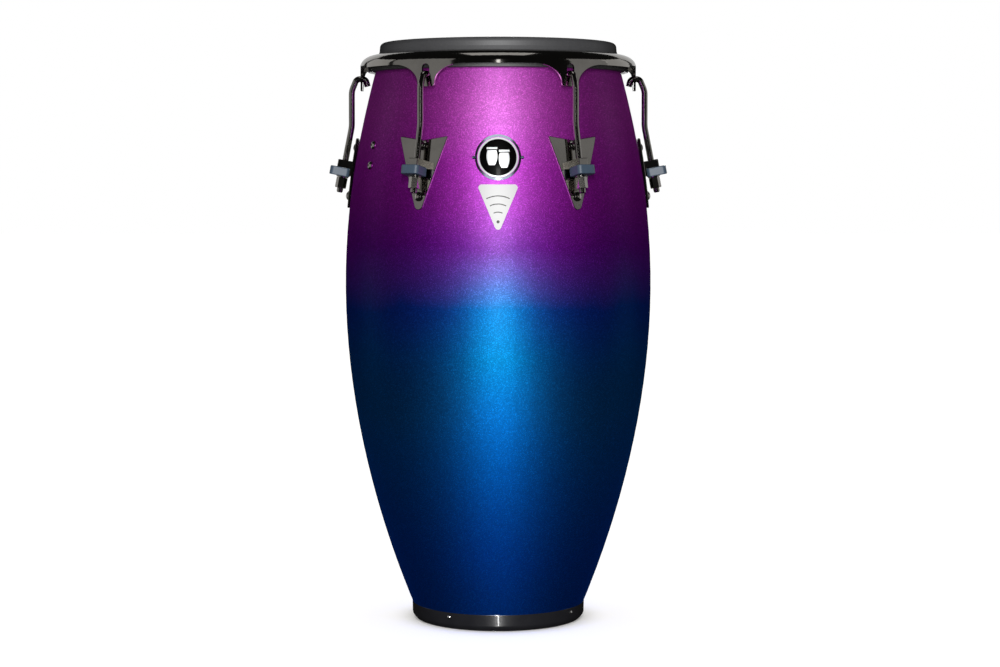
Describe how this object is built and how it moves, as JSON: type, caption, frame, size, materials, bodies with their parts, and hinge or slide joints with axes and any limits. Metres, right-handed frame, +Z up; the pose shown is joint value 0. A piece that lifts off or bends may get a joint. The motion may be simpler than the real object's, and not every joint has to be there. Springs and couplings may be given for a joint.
{
  "type": "conga drum",
  "caption": "Fibreglass conga drum in a magenta to blue sparkle fade, with a black head, a comfort-curve rim and dark nickel hook tuning hardware.",
  "frame": {"origin": "Floor level, on the drum's axis: the bottom centre of its bounding box.", "axes": "+Z up along the drum's axis, -Y to the front where the badge is, +X to the player's right seen from the front."},
  "size_m": [0.4468, 0.405, 0.763],
  "materials": {
    "fade_lacquer": "satin-gloss sparkle lacquer over fibreglass, magenta fading to blue",
    "foot_polymer": "glossy black moulding",
    "bright_screws": "bright round-head screws",
    "drum_skin": "matte black coated synthetic film",
    "hoop_steel": "dark coated steel",
    "dark_nickel": "polished black nickel",
    "rod_nickel": "polished black nickel with rolled threads",
    "bolt_nickel": "polished black nickel button heads",
    "plain_steel": "zinc plated steel",
    "bumper_rubber": "slate blue-grey rubber",
    "badge_chrome": "bright chrome",
    "badge_white": "white enamel",
    "badge_black": "black enamel",
    "label_white": "white printed label",
    "label_ink": "black print"
  },
  "bodies": {
    "barrel": {"shell": "fade_lacquer", "foot_ring": "foot_polymer", "foot_ring_screws": "bright_screws", "side_plate_1": "dark_nickel", "side_plate_2": "dark_nickel", "side_plate_3": "dark_nickel", "side_plate_4": "dark_nickel", "side_plate_5": "dark_nickel", "side_plate_6": "dark_nickel", "shell_bumper_1": "bumper_rubber", "shell_bumper_2": "bumper_rubber", "shell_bumper_3": "bumper_rubber", "shell_bumper_4": "bumper_rubber", "shell_bumper_5": "bumper_rubber", "shell_bumper_6": "bumper_rubber", "tuning_washers": "dark_nickel", "side_plate_bolts": "bolt_nickel", "backing_plate_1": "plain_steel", "backing_plate_2": "plain_steel", "backing_plate_3": "plain_steel", "backing_plate_4": "plain_steel", "backing_plate_5": "plain_steel", "backing_plate_6": "plain_steel", "backing_nuts": "plain_steel", "bracket_bolts": "bolt_nickel", "bracket_plate": "plain_steel", "bracket_nuts": "plain_steel", "badge_bezel": "badge_chrome", "badge_ring": "badge_white", "badge_disc": "badge_black", "badge_emblem": "badge_white", "badge_rivets": "badge_chrome", "nameplate": "label_white", "nameplate_sign": "label_ink"},
    "head_and_rim": {"rim": "dark_nickel", "head_hoop": "hoop_steel", "drumhead": "drum_skin"},
    "hook_1": {"tuning_hook_1": "rod_nickel"},
    "nut_1": {"tuning_nut_1": "rod_nickel"},
    "hook_2": {"tuning_hook_2": "rod_nickel"},
    "nut_2": {"tuning_nut_2": "rod_nickel"},
    "hook_3": {"tuning_hook_3": "rod_nickel"},
    "nut_3": {"tuning_nut_3": "rod_nickel"},
    "hook_4": {"tuning_hook_4": "rod_nickel"},
    "nut_4": {"tuning_nut_4": "rod_nickel"},
    "hook_5": {"tuning_hook_5": "rod_nickel"},
    "nut_5": {"tuning_nut_5": "rod_nickel"},
    "hook_6": {"tuning_hook_6": "rod_nickel"},
    "nut_6": {"tuning_nut_6": "rod_nickel"}
  },
  "joints": [
    {"name": "rim_lift", "type": "slide", "parent": "barrel", "child": "head_and_rim", "axis": [0, 0, 1], "range_m": [0, 0.008]},
    {"name": "hook_1_slide", "type": "slide", "parent": "barrel", "child": "hook_1", "axis": [0.0954, 0.1652, 0.9816], "range_m": [0, 0.00816]},
    {"name": "nut_1_turn", "type": "hinge", "parent": "barrel", "child": "nut_1", "pos_m": [-0.10409, -0.1803, 0.57998], "axis": [0.0954, 0.1652, 0.9816], "range_deg": [0, 2080]},
    {"name": "hook_2_slide", "type": "slide", "parent": "barrel", "child": "hook_2", "axis": [-0.0954, 0.1652, 0.9816], "range_m": [0, 0.00816]},
    {"name": "nut_2_turn", "type": "hinge", "parent": "barrel", "child": "nut_2", "pos_m": [0.10409, -0.1803, 0.57998], "axis": [-0.0954, 0.1652, 0.9816], "range_deg": [0, 2080]},
    {"name": "hook_3_slide", "type": "slide", "parent": "barrel", "child": "hook_3", "axis": [-0.1908, 0, 0.9816], "range_m": [0, 0.00816]},
    {"name": "nut_3_turn", "type": "hinge", "parent": "barrel", "child": "nut_3", "pos_m": [0.20819, 0, 0.57998], "axis": [-0.1908, 0, 0.9816], "range_deg": [0, 2080]},
    {"name": "hook_4_slide", "type": "slide", "parent": "barrel", "child": "hook_4", "axis": [-0.0954, -0.1652, 0.9816], "range_m": [0, 0.00816]},
    {"name": "nut_4_turn", "type": "hinge", "parent": "barrel", "child": "nut_4", "pos_m": [0.10409, 0.1803, 0.57998], "axis": [-0.0954, -0.1652, 0.9816], "range_deg": [0, 2080]},
    {"name": "hook_5_slide", "type": "slide", "parent": "barrel", "child": "hook_5", "axis": [0.0954, -0.1652, 0.9816], "range_m": [0, 0.00816]},
    {"name": "nut_5_turn", "type": "hinge", "parent": "barrel", "child": "nut_5", "pos_m": [-0.10409, 0.1803, 0.57998], "axis": [0.0954, -0.1652, 0.9816], "range_deg": [0, 2080]},
    {"name": "hook_6_slide", "type": "slide", "parent": "barrel", "child": "hook_6", "axis": [0.1908, 0, 0.9816], "range_m": [0, 0.00816]},
    {"name": "nut_6_turn", "type": "hinge", "parent": "barrel", "child": "nut_6", "pos_m": [-0.20819, 0, 0.57998], "axis": [0.1908, 0, 0.9816], "range_deg": [0, 2080]}
  ],
  "couplings": [
    {"joint": "hook_1_slide", "follows": "rim_lift", "ratio": 1.0187},
    {"joint": "nut_1_turn", "follows": "rim_lift", "rad_per_m": 4536},
    {"joint": "hook_2_slide", "follows": "rim_lift", "ratio": 1.0187},
    {"joint": "nut_2_turn", "follows": "rim_lift", "rad_per_m": 4536},
    {"joint": "hook_3_slide", "follows": "rim_lift", "ratio": 1.0187},
    {"joint": "nut_3_turn", "follows": "rim_lift", "rad_per_m": 4536},
    {"joint": "hook_4_slide", "follows": "rim_lift", "ratio": 1.0187},
    {"joint": "nut_4_turn", "follows": "rim_lift", "rad_per_m": 4536},
    {"joint": "hook_5_slide", "follows": "rim_lift", "ratio": 1.0187},
    {"joint": "nut_5_turn", "follows": "rim_lift", "rad_per_m": 4536},
    {"joint": "hook_6_slide", "follows": "rim_lift", "ratio": 1.0187},
    {"joint": "nut_6_turn", "follows": "rim_lift", "rad_per_m": 4536}
  ]
}
